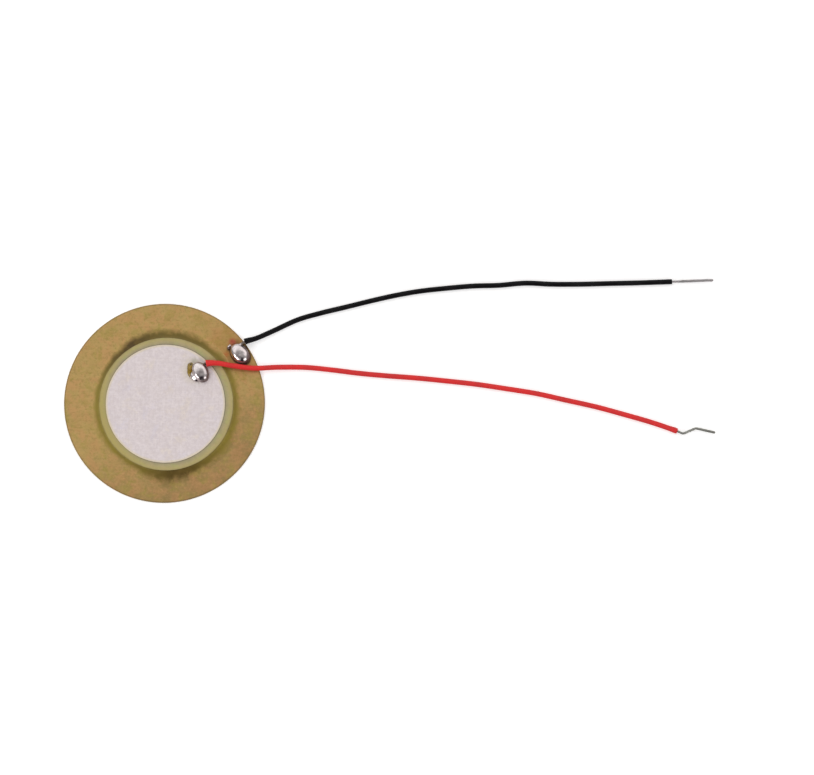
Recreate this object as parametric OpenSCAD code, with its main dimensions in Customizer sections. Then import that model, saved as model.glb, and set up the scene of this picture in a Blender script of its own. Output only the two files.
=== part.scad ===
// Piezo disc with two soldered leads.
//
// A ceramic disc, silvered on both faces, is glued to a thin brass plate. The
// black lead is soldered to the plate near its rim and the red lead to the
// upper electrode. A voltage between them bows the plate, and bowing the plate
// gives a voltage.
//
// Millimetres, +Z up. The origin is the centre of the plate's back face. The
// plate lies on the bench, and both leads run out along the bench towards +X.

/* [Brass plate] */
// Diameter of the brass plate
plate_d = 27; // [26.5:0.5:32]
// Thickness of the brass plate
plate_t = 0.3; // [0.2:0.05:0.5]
// Radius that the blanking die leaves on the plate's upper edge
edge_roll = 0.06; // [0.02:0.01:0.1]

/* [Ceramic element] */
// Diameter of the ceramic disc
ceramic_d = 18; // [16:0.5:18.5]
// Thickness of the ceramic disc
ceramic_t = 0.2; // [0.15:0.05:0.4]
// Width of the bare ceramic left round the upper electrode
electrode_margin = 1; // [0.8:0.1:1.4]
// Thickness of each fired silver electrode
electrode_t = 0.01; // [0.01:0.005:0.03]
// How far the ceramic was glued off the plate's centre
ceramic_shift = 0.3; // [0:0.05:0.4]

/* [Adhesive] */
// Thickness of the glue line under the ceramic
glue_t = 0.02; // [0.02:0.01:0.05]
// Mean width of the glue squeezed out round the ceramic
squeeze_w = 1; // [0.7:0.05:1.1]
// How far up the ceramic's edge the glue climbs, as a share of the edge
squeeze_climb = 0.6; // [0.3:0.1:0.9]

/* [Solder joints] */
// Height of the solder on the plate
plate_joint_h = 1; // [0.9:0.05:1.3]
// Height of the solder on the electrode
electrode_joint_h = 0.95; // [0.9:0.05:1.3]
// Height of the rosin beside the electrode's joint
rosin_h = 0.3; // [0.2:0.05:0.4]

/* [Leads] */
// Outside diameter of the insulation
insulation_d = 0.7; // [0.6:0.05:0.8]
// Diameter of the tinned strands inside it
conductor_d = 0.3; // [0.2:0.02:0.36]
// Length of the black lead's bare end
black_bare_l = 5.6; // [3:0.1:8]
// Length of the red lead's bare end past its second kink
red_bare_l = 2.7; // [1.5:0.1:4]

/* [Hidden] */

$fn = 96;

plate_r = plate_d / 2;
ceramic_r = ceramic_d / 2;
electrode_r = ceramic_r - electrode_margin;
insulation_r = insulation_d / 2;
conductor_r = conductor_d / 2;

// Heights in the stack, from the bench up
glue_top = plate_t + glue_t;
ceramic_base = glue_top + electrode_t;
ceramic_top = ceramic_base + ceramic_t;
stack_top = ceramic_top + electrode_t;

function polar(r, angle) = r * [cos(angle), sin(angle)];

// The silver is printed a little off the ceramic's own centre too
ceramic_at = polar(ceramic_shift, -35);
electrode_at = polar(0.6 * ceramic_shift, -45);

// Thickness of the squeezed-out glue at its outer edge
lip_t = 0.04;

// The glue's spread, in shares of its mean width: the least, the waves of its
// edge, and the lobes where it ran further, each with its middle and half-width
// in degrees and how much further it ran
squeeze_least = 0.72;
squeeze_wave = 0.03;
squeeze_lobes = [[70, 55, 0.52], [112, 18, 0.32], [195, 26, 0.18], [271, 18, 1.1], [320, 34, 0.62]];

// The electrode's joint stays this far inside the silver's edge
electrode_joint_inset = 1.6;
electrode_joint_at = polar(electrode_r - electrode_joint_inset, 43);
electrode_joint_half = [1.5, 1.15];
electrode_joint_turn = -62;

// The plate's joint stays this far inside the rim, and this far above the other
// joint, so that the red lead passes below it
plate_joint_inset = 1.3;
plate_joint_rise = 2.4;
plate_joint_r = plate_r - plate_joint_inset;
plate_joint_y = electrode_joint_at.y + plate_joint_rise;
plate_joint_at = [sqrt(pow(plate_joint_r, 2) - pow(plate_joint_y, 2)), plate_joint_y];
plate_joint_half = [1.64, 1.12];
plate_joint_turn = -53;

// The bead and the rosin, from the joint that each lies beside
bead_offset = [-1.72, 0.85];
bead_half = [0.25, 0.3];
bead_h = 0.32;
rosin_offset = [-1.15, 0.1];
rosin_half = [0.62, 1];

// The side of a drop of solder or rosin: a round top over a full shoulder, down
// to a foot that has wetted what is under it and curls outwards
top_angle = 86;
top_power = 0.8;
side_power = 1.15;
foot_curl = 0.06;
foot_power = 6;

// Points round the outlines of the glue and the joints, of the small drops, and
// of the plate's rolled edge, and the steps up a joint and a drop
outline_n = 48;
drop_n = 24;
edge_n = 32;
joint_levels = 12;
drop_levels = 6;

// Sides of a lead, and its rings between two points of its route
lead_n = 8;
lead_steps = 2;

// The leads' routes from above, each point measured from the lead's own joint.
// The first two points are bare strands, and the insulation starts at the third.
insulation_start = 2;
black_route = [
    [-0.5, 0.3], [-0.1, 1], [0.6, 1.5], [2.2, 2], [4.3, 2.95],
    [7.6, 4.5], [10.8, 5.45], [14.1, 6.25], [17.3, 7.05], [20.8, 7.85],
    [24.2, 8.45], [27.8, 8.85], [31.3, 9.15], [34.8, 9.25], [38.4, 9.55],
    [42, 9.4], [45.8, 9.4], [49.8, 9.5], [54, 9.6], [58.2, 9.75],
];
red_route = [
    [0, 0.2], [0.4, 0.65], [1.05, 0.92], [2.5, 0.95], [4.6, 0.6],
    [7.4, 0.3], [10.7, 0.45], [14.3, 0.45], [17.9, 0.1], [21.5, -0.35],
    [25.3, -0.7], [29.3, -1], [33.3, -1.4], [37.3, -1.85], [41.3, -2.45],
    [45.3, -3.1], [49.3, -4], [53.3, -4.9], [57.3, -6], [60.9, -7.05],
    [64.2, -8.2],
];

// The red lead's bare end was bent twice. The bends, measured from the end of
// its insulation, and the way the wire points after them.
red_kinks = [[0.8, -0.35], [2.5, 0.4]];
red_tip_angle = -13;

// Room under a lead where it passes over the plate and the ceramic, and how far
// past the rim it leaves that height and comes down on the bench
lead_clear = 0.02;
rim_reach = 0.6;
drop_reach = 5;

// ---- Points and skins ----

function unit(v) = v / norm(v);

// A point, at a share of the way from b to c, of the smooth curve through a, b, c and d
function curve_point(a, b, c, d, t) = (
    2 * b + (c - a) * t + (2 * a - 5 * b + 4 * c - d) * pow(t, 2) + (3 * b - a - 3 * c + d) * pow(t, 3)
) / 2;

// The smooth curve through a route's points
function smooth(route, steps) = let (last = len(route) - 1) [
    for (i = [0:last - 1], s = [0:steps - 1])
        curve_point(route[max(i - 1, 0)], route[i], route[i + 1], route[min(i + 2, last)], s / steps),
    route[last],
];

// The way a line of points runs, at one of them
function heading(line, i) = unit(line[min(i + 1, len(line) - 1)] - line[max(i - 1, 0)]);

// Rings of n points, square to a line of points, from one of them to another
function rings_along(line, r, from, to) = [
    for (i = [from:to])
        let (ahead = heading(line, i), side = unit(cross([0, 0, 1], ahead)), up = cross(ahead, side))
        [for (k = [0:lead_n - 1]) let (p = polar(r, 360 * k / lead_n)) line[i] + p.x * side + p.y * up]
];

// The triangles between rings of n points, whose first point is number first
function skin_faces(count, n, first = 0) = [
    for (i = [0:count - 2], k = [0:n - 1])
        let (a = first + i * n + k, b = first + i * n + (k + 1) % n)
        each [[a, a + n, b + n], [a, b + n, b]]
];

function reversed(faces) = [for (face = faces) [for (i = [len(face) - 1:-1:0]) face[i]]];

// A solid skinned over rings, with a flat end at the first and the last
module loft(rings) {
    count = len(rings);
    n = len(rings[0]);
    polyhedron(
        points = [for (ring = rings) each ring],
        faces = [
            [for (k = [0:n - 1]) k],
            each skin_faces(count, n),
            [for (k = [n - 1:-1:0]) (count - 1) * n + k],
        ]
    );
}

// A tube skinned over outer rings and as many inner rings
module tube(outer, inner) {
    count = len(outer);
    n = len(outer[0]);
    bore = count * n;
    end = bore - n;
    polyhedron(
        points = [for (ring = concat(outer, inner)) each ring],
        faces = [
            each skin_faces(count, n),
            each reversed(skin_faces(count, n, bore)),
            for (k = [0:n - 1])
                let (next = (k + 1) % n)
                each [
                    [k, next, bore + next],
                    [k, bore + next, bore + k],
                    [end + next, end + k, bore + end + k],
                    [end + next, bore + end + k, bore + end + next],
                ],
        ]
    );
}

// ---- The stack ----

module brass_plate() {
    color("darkgoldenrod")
    rotate_extrude()
    union() {
        square([plate_r, plate_t - edge_roll]);
        square([plate_r - edge_roll, plate_t]);
        translate([plate_r - edge_roll, plate_t - edge_roll]) circle(r = edge_roll, $fn = edge_n);
    }
}

module round_layer(at, z, r, t) {
    translate([at.x, at.y, z]) cylinder(r = r, h = t);
}

function total(values) = [for (value = values) 1] * values;

// One at an angle, and falling away to nothing on both sides of it
function lobe(angle, middle, width) =
    let (away = (angle - middle + 540) % 360 - 180)
    exp(-pow(away / width, 2));

// How far the glue spreads past the ceramic, at an angle. Its edge is wavy.
function squeeze(angle) = squeeze_w * (
    squeeze_least + squeeze_wave * sin(7 * angle)
    + total([for (run = squeeze_lobes) run[2] * lobe(angle, run[0], run[1])])
);

// The glue's outline at a share of its spread, at a height
function glue_ring(share, z) = [
    for (k = [0:outline_n - 1])
        let (angle = 360 * k / outline_n, p = ceramic_at + polar(ceramic_r + share * squeeze(angle), angle))
        [p.x, p.y, z]
];

// The glue line, and the hollow fillet that it leaves up the ceramic's edge. The
// rings go on past that edge, and the ceramic's own cylinder trims them to it.
module adhesive_bond() {
    lip = plate_t + lip_t;
    climb = squeeze_climb * (ceramic_top - lip);
    hollow = 2.2;
    shares = [1, 0.7, 0.4, 0.15, -0.1];
    color("darkolivegreen")
    difference() {
        loft([
            glue_ring(1, plate_t),
            for (share = shares) glue_ring(share, lip + climb * pow(1 - share, hollow)),
        ]);
        round_layer(ceramic_at, glue_top, ceramic_r, stack_top);
    }
}

module lower_electrode() {
    color("silver") round_layer(ceramic_at, glue_top, ceramic_r, electrode_t);
}

module piezo_ceramic() {
    color("darkkhaki") round_layer(ceramic_at, ceramic_base, ceramic_r, ceramic_t);
}

module upper_electrode() {
    color("gainsboro") round_layer(electrode_at, ceramic_top, electrode_r, electrode_t);
}

// ---- Solder and rosin ----

// One ring of a drop that stands on z = 0, at a share of the way up its side
function drop_ring(half, h, lean, n, share) =
    let (
        rise = top_angle * share,
        z = h * pow(sin(rise), side_power),
        reach = pow(cos(rise), top_power) + foot_curl * pow(1 - share, foot_power)
    )
    [
        for (k = [0:n - 1])
            let (
                angle = 360 * k / n,
                wave = 1 + 0.03 * cos(2 * angle + 40) + 0.02 * cos(3 * angle),
                p = reach * wave * polar(1, angle)
            )
            [half.x * p.x + lean.x * z, half.y * p.y + lean.y * z, z]
    ];

module drop(at, z, half, h, turn = 0, lean = [0, 0], n = drop_n, levels = drop_levels) {
    translate([at.x, at.y, z])
    rotate([0, 0, turn])
        loft([for (i = [0:levels]) drop_ring(half, h, lean, n, i / levels)]);
}

module plate_joint_drop() {
    drop(
        plate_joint_at, plate_t, plate_joint_half, plate_joint_h,
        plate_joint_turn, [0.06, 0.02], outline_n, joint_levels
    );
}

module electrode_joint_drop() {
    drop(
        electrode_joint_at, stack_top, electrode_joint_half, electrode_joint_h,
        electrode_joint_turn, [0.08, 0.05], outline_n, joint_levels
    );
}

// Each joint has frozen round the strands of its lead
module plate_solder_joint() {
    color("lightslategray")
    difference() {
        plate_joint_drop();
        strands(black_line);
    }
}

module electrode_solder_joint() {
    color("lightslategray")
    difference() {
        electrode_joint_drop();
        strands(red_line);
    }
}

// Solder that spattered beside the plate's joint
module solder_bead() {
    color("lightslategray")
    drop(plate_joint_at + bead_offset, plate_t, bead_half, bead_h);
}

// Amber rosin that pooled against the electrode's joint
module rosin_residue() {
    color("goldenrod")
    difference() {
        drop(electrode_joint_at + rosin_offset, stack_top, rosin_half, rosin_h);
        electrode_joint_drop();
    }
}

// ---- Leads ----

// The height of what a lead rests on, at a distance from the plate's centre
function rest_height(r) = lookup(r, [
    [ceramic_r, stack_top + lead_clear],
    [plate_r, plate_t + lead_clear],
    [plate_r + rim_reach, plate_t + lead_clear],
    [plate_r + drop_reach, 0],
]);

// The line down the middle of a lead, from its joint to the end of its insulation
function lead_line(route, at) = [
    for (offset = smooth(route, lead_steps))
        let (p = at + offset)
        [p.x, p.y, insulation_r + rest_height(norm(p))]
];

function last_of(line) = line[len(line) - 1];

black_covered = lead_line(black_route, plate_joint_at);
black_end = heading(black_covered, len(black_covered) - 1);
black_line = concat(black_covered, [last_of(black_covered) + black_bare_l * [black_end.x, black_end.y, 0]]);

red_covered = lead_line(red_route, electrode_joint_at);
red_bends = concat(red_kinks, [last_of(red_kinks) + polar(red_bare_l, red_tip_angle)]);
red_line = concat(red_covered, [for (offset = red_bends) last_of(red_covered) + [offset.x, offset.y, 0]]);

// The tinned strands, from inside the joint to the tip
module strands(line) {
    loft(rings_along(line, conductor_r, 0, len(line) - 1));
}

// The plastic that covers the strands, which fill its bore
module insulation(line, route) {
    from = insulation_start * lead_steps;
    to = (len(route) - 1) * lead_steps;
    tube(rings_along(line, insulation_r, from, to), rings_along(line, conductor_r, from, to));
}

module black_conductor() {
    color("lightgray") strands(black_line);
}

module black_insulation() {
    color("dimgray") insulation(black_line, black_route);
}

module red_conductor() {
    color("lightgray") strands(red_line);
}

module red_insulation() {
    color("crimson") insulation(red_line, red_route);
}

brass_plate();
adhesive_bond();
lower_electrode();
piezo_ceramic();
upper_electrode();
plate_solder_joint();
solder_bead();
electrode_solder_joint();
rosin_residue();
black_conductor();
black_insulation();
red_conductor();
red_insulation();
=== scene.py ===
import math

import bpy
import numpy as np
from mathutils import Matrix, Vector, noise


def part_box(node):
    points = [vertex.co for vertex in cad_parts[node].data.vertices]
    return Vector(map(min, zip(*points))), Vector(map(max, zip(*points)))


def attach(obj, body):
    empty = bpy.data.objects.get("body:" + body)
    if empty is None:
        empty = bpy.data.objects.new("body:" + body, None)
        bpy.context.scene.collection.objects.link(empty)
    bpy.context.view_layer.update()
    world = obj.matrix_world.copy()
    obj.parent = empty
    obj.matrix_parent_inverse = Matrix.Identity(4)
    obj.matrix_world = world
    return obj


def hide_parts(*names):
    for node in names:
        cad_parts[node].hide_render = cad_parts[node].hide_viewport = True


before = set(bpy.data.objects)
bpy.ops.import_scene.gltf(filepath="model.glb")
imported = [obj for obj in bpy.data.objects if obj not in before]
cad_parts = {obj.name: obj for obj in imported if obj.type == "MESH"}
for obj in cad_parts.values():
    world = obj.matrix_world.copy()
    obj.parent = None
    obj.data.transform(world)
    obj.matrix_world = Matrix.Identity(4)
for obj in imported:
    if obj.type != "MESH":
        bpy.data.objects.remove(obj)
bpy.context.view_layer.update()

# ---- Camera ----
# The disc lies on a pale bench and is seen from almost straight above, a little from the front.
# The lens is long, so that the round plate looks round all over.

plate_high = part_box("brass_plate")[1]
plate_radius = plate_high.x
view_rise = math.radians(81.8)
view_middle = Vector((0.03260, 0.00208, 0.0004))
view_width = 0.10945

camera = bpy.data.objects.new("camera", bpy.data.cameras.new("camera"))
bpy.context.scene.collection.objects.link(camera)
bpy.context.scene.camera = camera
camera.data.lens = 200
camera.data.sensor_width = 36
view_back = Vector((0, -math.cos(view_rise), math.sin(view_rise)))
camera.location = view_middle + view_back * (view_width * camera.data.lens / camera.data.sensor_width)
camera.rotation_euler = (math.pi / 2 - view_rise, 0, 0)
camera.data.clip_start = 0.01
camera.data.clip_end = 10

# ---- Leads ----
# Fine hook-up wire: seven tinned copper strands, twisted together, in a sleeve of soft plastic
# that is extruded over them. The ends are stripped and dipped in solder. Each lead leaves its
# joint, passes over the plate's rim and comes down on the bench.

sleeve_radius = 0.00035
strands_radius = 0.00015
ceramic_low, ceramic_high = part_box("piezo_ceramic")
ceramic_radius = (ceramic_high.x - ceramic_low.x) / 2
silver_low, silver_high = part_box("upper_electrode")
silver_radius = (silver_high.x - silver_low.x) / 2

# The red lead's joint lies inside the silver's edge, turned by this angle from +X. The black
# lead's lies inside the plate's rim and further back, so that the red lead passes in front of it.
red_joint_in = 0.0016
red_joint_turn = math.radians(43)
black_joint_in = 0.0013
black_joint_back = 0.0024
red_joint = (silver_radius - red_joint_in) * np.array((math.cos(red_joint_turn), math.sin(red_joint_turn)))
black_joint_y = red_joint[1] + black_joint_back
black_joint_x = math.sqrt((plate_radius - black_joint_in) ** 2 - black_joint_y ** 2)
black_joint = np.array((black_joint_x, black_joint_y))

# Each route from above, measured from the lead's own joint
black_route = [
    (-0.0005, 0.0003), (-0.0001, 0.0010), (0.0006, 0.0015), (0.0022, 0.0020), (0.0043, 0.00295),
    (0.0076, 0.0045), (0.0108, 0.00545), (0.0141, 0.00625), (0.0173, 0.00705), (0.0208, 0.00785),
    (0.0242, 0.00845), (0.0278, 0.00885), (0.0313, 0.00915), (0.0348, 0.00925), (0.0384, 0.00955),
    (0.0420, 0.0094), (0.0458, 0.0094), (0.0498, 0.0095), (0.0540, 0.0096), (0.0582, 0.00975),
]
red_route = [
    (0.0000, 0.0002), (0.0004, 0.00065), (0.00105, 0.00092), (0.0025, 0.00095), (0.0046, 0.0006),
    (0.0074, 0.0003), (0.0107, 0.00045), (0.0143, 0.00045), (0.0179, 0.0001), (0.0215, -0.00035),
    (0.0253, -0.0007), (0.0293, -0.0010), (0.0333, -0.0014), (0.0373, -0.00185), (0.0413, -0.00245),
    (0.0453, -0.0031), (0.0493, -0.0040), (0.0533, -0.0049), (0.0573, -0.0060), (0.0609, -0.00705),
    (0.0642, -0.0082),
]
# A route's first two points are bare strands. Its line has these steps from point to point.
line_steps = 12
sleeve_start = 2 * line_steps

# The bare ends. The red one was bent twice, at these places from the end of its sleeve.
black_bare = 0.0056
red_bends = [(0.0008, -0.00035), (0.0025, 0.0004)]
red_bare = 0.0027
red_tip_turn = math.radians(-13)


def smooth_line(points, steps):
    """The points of a smooth curve that passes through these points."""
    points = [np.array(p, float) for p in points]
    last = len(points) - 1
    line = []
    for i in range(last):
        a, b, c, d = (points[min(max(j, 0), last)] for j in (i - 1, i, i + 1, i + 2))
        for t in np.arange(steps) / steps:
            bend = (2 * a - 5 * b + 4 * c - d) * t ** 2 + (3 * b - a - 3 * c + d) * t ** 3
            line.append((2 * b + (c - a) * t + bend) / 2)
    line.append(points[last])
    return np.array(line)


def rest_height(reach):
    """The height of what a lead rests on, at a distance from the plate's centre."""
    gap = 0.00002
    level_until = plate_radius + 0.0006
    down_at = plate_radius + 0.005
    heights = (silver_high.z + gap, plate_high.z + gap, plate_high.z + gap, 0)
    return np.interp(reach, (ceramic_radius, plate_radius, level_until, down_at), heights)


def lead_line(route, joint):
    """The line down the middle of a lead, from inside its joint to where its sleeve ends."""
    flat = smooth_line(route, line_steps) + joint
    rest = rest_height(np.linalg.norm(flat, axis=1))
    spread = 3
    window = 2 * spread + 1
    eased = np.convolve(np.pad(rest, spread, mode="edge"), np.ones(window) / window, mode="valid")
    return np.column_stack((flat, sleeve_radius + eased))


def rounded_corners(points, times=3):
    """A line of points with its corners cut, again and again, into short curves."""
    most_cut = 0.00013
    for _ in range(times):
        cut = [points[0]]
        for a, b in zip(points, points[1:]):
            reach = min(0.25, most_cut / max(np.linalg.norm(b - a), 1e-9))
            cut += [a + (b - a) * reach, b - (b - a) * reach]
        points = cut + [points[-1]]
    return points


def run_along(line):
    """How far along a line each of its points is."""
    return np.concatenate(([0], np.cumsum(np.linalg.norm(np.diff(line, axis=0), axis=1))))


def even_line(points, step):
    """A line of points, laid out again at even steps."""
    points = np.array(points)
    run = run_along(points)
    at = np.linspace(0, run[-1], max(2, round(run[-1] / step) + 1))
    return np.column_stack([np.interp(at, run, points[:, k]) for k in range(3)])


def waver_along(along, seed):
    """A slow unevenness, from -1 to 1, at each point of a lead."""
    return np.array([noise.noise(Vector((s * 700, seed, 0))) for s in along])


def swept_mesh(name, line, radius, scales, profile=None, tilts=None):
    """A round or shaped rod along a line, as a mesh whose object is at the origin."""
    curve = bpy.data.curves.new(name, "CURVE")
    curve.dimensions = "3D"
    curve.resolution_u = 1
    spline = curve.splines.new("POLY")
    spline.points.add(len(line) - 1)
    for i, point in enumerate(spline.points):
        point.co = (*line[i], 1)
        point.radius = scales[i]
        point.tilt = 0 if tilts is None else tilts[i]
    if profile is None:
        curve.bevel_depth = radius
        curve.bevel_resolution = 9
    else:
        curve.bevel_mode = "OBJECT"
        curve.bevel_object = profile
        curve.use_fill_caps = True
    piece = bpy.data.objects.new(name, curve)
    bpy.context.scene.collection.objects.link(piece)
    bpy.ops.object.select_all(action="DESELECT")
    piece.select_set(True)
    bpy.context.view_layer.objects.active = piece
    bpy.ops.object.convert(target="MESH")
    return bpy.context.view_layer.objects.active


def apply_modifiers(piece):
    """Applies a piece's modifiers, from the first to the last."""
    bpy.ops.object.select_all(action="DESELECT")
    piece.select_set(True)
    bpy.context.view_layer.objects.active = piece
    for name in [m.name for m in piece.modifiers]:
        bpy.ops.object.modifier_apply(modifier=name)


def sleeve(name, line, swell, burr):
    """The plastic: an open tube with its wall inside it and its cut ends softened.

    The iron's heat has swollen it beside its joint, and the stripper has left a burr at its end.
    """
    swollen_over = 0.0008
    burr_at = 0.0004
    unevenness = 0.012
    bore_room = 0.000005
    cut_edge = 0.00004
    along = run_along(line)
    left = along[-1] - along
    heated = swell * np.exp(-(along / swollen_over) ** 2)
    squashed = burr * np.exp(-((left - burr_at) / burr_at) ** 2)
    raised = line + np.outer(sleeve_radius * (heated + squashed), (0, 0, 1))
    scales = 1 + unevenness * waver_along(along, 3.1) + heated + squashed
    piece = swept_mesh(name, raised, sleeve_radius, scales)
    wall = piece.modifiers.new("wall", "SOLIDIFY")
    wall.thickness = sleeve_radius - strands_radius - bore_room
    wall.offset = -1
    edge = piece.modifiers.new("cut edge", "BEVEL")
    edge.width = cut_edge
    edge.segments = 3
    edge.limit_method = "ANGLE"
    edge.angle_limit = math.radians(60)
    apply_modifiers(piece)
    bpy.ops.object.shade_smooth_by_angle(angle=math.radians(50))
    return piece


def strand_profile(lobes=6, around=48, groove=0.000022):
    """The outline of the twisted strands: six round backs with solder in the grooves."""
    curve = bpy.data.curves.new("strand_profile", "CURVE")
    spline = curve.splines.new("POLY")
    spline.points.add(around - 1)
    spline.use_cyclic_u = True
    for i, point in enumerate(spline.points):
        angle = 2 * math.pi * i / around
        radius = strands_radius - groove * (1 - abs(math.cos(lobes * angle / 2))) ** 1.5
        point.co = (radius * math.cos(angle), radius * math.sin(angle), 0, 1)
    made = bpy.data.objects.new("strand_profile", curve)
    bpy.context.scene.collection.objects.link(made)
    return made


def strands(name, inside, bare, coat):
    """The twisted strands, from inside the joint to the dipped tip.

    The dip has thickened the bare end to coat times its width, and solder has crept out of the joint.
    """
    lay = 0.0032
    shown_step = 0.00006
    hidden_step = 0.0006
    rounded_over = 0.00012
    unevenness = 0.06
    dip_fades_over = 0.0015
    crept = 0.16
    soldered_until = 0.003
    hidden = even_line(inside, hidden_step)
    shown = even_line(bare, shown_step)
    shown_start = even_line(inside[: sleeve_start + line_steps // 2], shown_step)
    hidden = hidden[np.linalg.norm(hidden - shown_start[-1], axis=1).argmin() + 1 : -1]
    line = np.concatenate((shown_start, hidden, shown))
    along = run_along(line)
    left = along[-1] - along
    tip = np.sqrt(np.clip(1 - np.clip(1 - left / rounded_over, 0, 1) ** 2, 0.05, 1))
    dipped = (coat - 1) * np.clip((run_along(bare)[-1] - left) / dip_fades_over, 0, 1)
    wicked = crept * np.clip(1 - along / run_along(inside[:sleeve_start])[-1], 0, 1)
    uneven = unevenness * waver_along(along, 9.7) * (dipped > 0)
    profile = strand_profile()
    scales = tip * (1 + dipped + wicked + uneven)
    piece = swept_mesh(name, line, strands_radius, scales, profile, 2 * math.pi * along / lay)
    bpy.data.objects.remove(profile)
    bpy.ops.object.mode_set(mode="EDIT")
    bpy.ops.mesh.select_all(action="SELECT")
    bpy.ops.mesh.remove_doubles(threshold=0.000001)
    bpy.ops.mesh.normals_make_consistent(inside=False)
    bpy.ops.object.mode_set(mode="OBJECT")
    soldered = piece.data.attributes.new("soldered", "FLOAT", "POINT")
    for vertex in piece.data.vertices:
        soldered.data[vertex.index].value = (vertex.co - Vector(line[0])).length < soldered_until
    bpy.ops.object.shade_smooth_by_angle(angle=math.radians(60))
    return piece


black_line = lead_line(black_route, black_joint)
black_ahead = (black_line[-1] - black_line[-2]) * (1, 1, 0)
black_ahead /= np.linalg.norm(black_ahead)
black_bare_line = [black_line[-1], black_line[-1] + black_bare * black_ahead]

red_line = lead_line(red_route, red_joint)
red_corners = [red_line[-1] + np.array((*bend, 0)) for bend in red_bends]
red_ahead = np.array((math.cos(red_tip_turn), math.sin(red_tip_turn), 0))
red_corners.append(red_corners[-1] + red_bare * red_ahead)
red_bare_line = rounded_corners([red_line[-1], *red_corners])

# The red lead's plastic reaches a little nearer to its joint
red_sleeve_start = sleeve_start - 2
black_sleeve = sleeve("black_sleeve", black_line[sleeve_start:], swell=0.2, burr=0.02)
red_sleeve = sleeve("red_sleeve", red_line[red_sleeve_start:], swell=0.3, burr=0.12)
black_strands = strands("black_strands", black_line, black_bare_line, coat=1.3)
red_strands = strands("red_strands", red_line, red_bare_line, coat=1.16)


def fill_inputs(tree, node, inputs):
    """Gives each input of a node its value, or joins it to another node's socket."""
    for key, value in inputs.items():
        if isinstance(value, bpy.types.NodeSocket):
            tree.links.new(value, node.inputs[key])
        else:
            node.inputs[key].default_value = value


def add_node(tree, kind, settings=None, inputs=None):
    """A shader node with its settings and its inputs."""
    made = tree.nodes.new("ShaderNode" + kind)
    for key, value in (settings or {}).items():
        setattr(made, key, value)
    fill_inputs(tree, made, inputs or {})
    return made


def calc(tree, operation, a, b=0.0, c=0.0):
    """The result of a sum on values or sockets."""
    return add_node(tree, "Math", {"operation": operation}, {0: a, 1: b, 2: c}).outputs[0]


def share_of(tree, mask, amount):
    """A mask made weaker."""
    return calc(tree, "MULTIPLY", mask, amount)


def blend(tree, share, a, b, way="MIX"):
    """Colour a, with a share of colour b laid over it."""
    settings = {"data_type": "RGBA", "blend_type": way, "clamp_factor": True}
    return add_node(tree, "Mix", settings, {0: share, 6: a, 7: b}).outputs[2]


def ease(tree, value, low, high, start=0.0, end=1.0):
    """start where the value is low, end where it is high, and an eased step between them."""
    inputs = {"Value": value, "From Min": low, "From Max": high, "To Min": start, "To Max": end}
    return add_node(tree, "MapRange", {"interpolation_type": "SMOOTHSTEP"}, inputs).outputs[0]


def speckle(tree, place, scale, detail=3.0, roughness=0.55, distortion=0.0):
    """Cloudy noise about 0.5, whose blots are about one scale-th of a metre across."""
    inputs = {"Vector": place, "Scale": scale, "Detail": detail, "Roughness": roughness}
    return add_node(tree, "TexNoise", {}, {**inputs, "Distortion": distortion}).outputs["Fac"]


def colour(red, green, blue):
    """A colour as the eye sees it, 0 to 255, as the shader wants it."""
    parts = [c / 255 for c in (red, green, blue)]
    return (*[p / 12.92 if p <= 0.04045 else ((p + 0.055) / 1.055) ** 2.4 for p in parts], 1.0)


def new_material(name):
    """A material with its tree, the place on the piece, and a Principled shader."""
    material = bpy.data.materials.new(name)
    material.use_nodes = True
    tree = material.node_tree
    tree.nodes.clear()
    place = add_node(tree, "TexCoord").outputs["Object"]
    surface = add_node(tree, "BsdfPrincipled")
    output = add_node(tree, "OutputMaterial")
    tree.links.new(surface.outputs[0], output.inputs["Surface"])
    return material, tree, place, surface


def finish_surface(tree, surface, **inputs):
    """Gives the Principled shader its inputs, each named as its socket with _ for a space."""
    fill_inputs(tree, surface, {key.replace("_", " "): value for key, value in inputs.items()})


def bump(tree, height, strength, depth):
    """Fine relief, from a height and its depth in metres."""
    inputs = {"Height": height, "Strength": strength, "Distance": depth}
    return add_node(tree, "Bump", {}, inputs).outputs[0]


def new_group(name, vectors, values, masks):
    """A node group that takes vectors and values and puts out masks, with its two end nodes."""
    group = bpy.data.node_groups.new(name, "ShaderNodeTree")
    for socket in vectors:
        group.interface.new_socket(socket, in_out="INPUT", socket_type="NodeSocketVector")
    for socket in values:
        group.interface.new_socket(socket, in_out="INPUT", socket_type="NodeSocketFloat")
    for socket in masks:
        group.interface.new_socket(socket, in_out="OUTPUT", socket_type="NodeSocketFloat")
    given = group.nodes.new("NodeGroupInput").outputs
    end = group.nodes.new("NodeGroupOutput")
    return group, given, end


def handling_group():
    """What handling leaves on a surface: broad dull patches and small dark specks."""
    scales = ["Patch Scale", "Speck Scale"]
    group, given, end = new_group("handling", ["Place"], scales, ["Patches", "Specks"])
    broad = speckle(group, given["Place"], given["Patch Scale"], 4.0, 0.6, 0.4)
    fine = speckle(group, given["Place"], given["Speck Scale"], 2.0, 0.7)
    masks = {"Patches": ease(group, broad, 0.38, 0.66), "Specks": ease(group, fine, 0.66, 0.76)}
    fill_inputs(group, end, masks)
    return group


handling = handling_group()


def handled(tree, place, patch_scale, speck_scale):
    """The patches and the specks that handling has left."""
    inputs = {"Place": place, "Patch Scale": patch_scale, "Speck Scale": speck_scale}
    made = add_node(tree, "Group", {"node_tree": handling}, inputs)
    return made.outputs["Patches"], made.outputs["Specks"]


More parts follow.
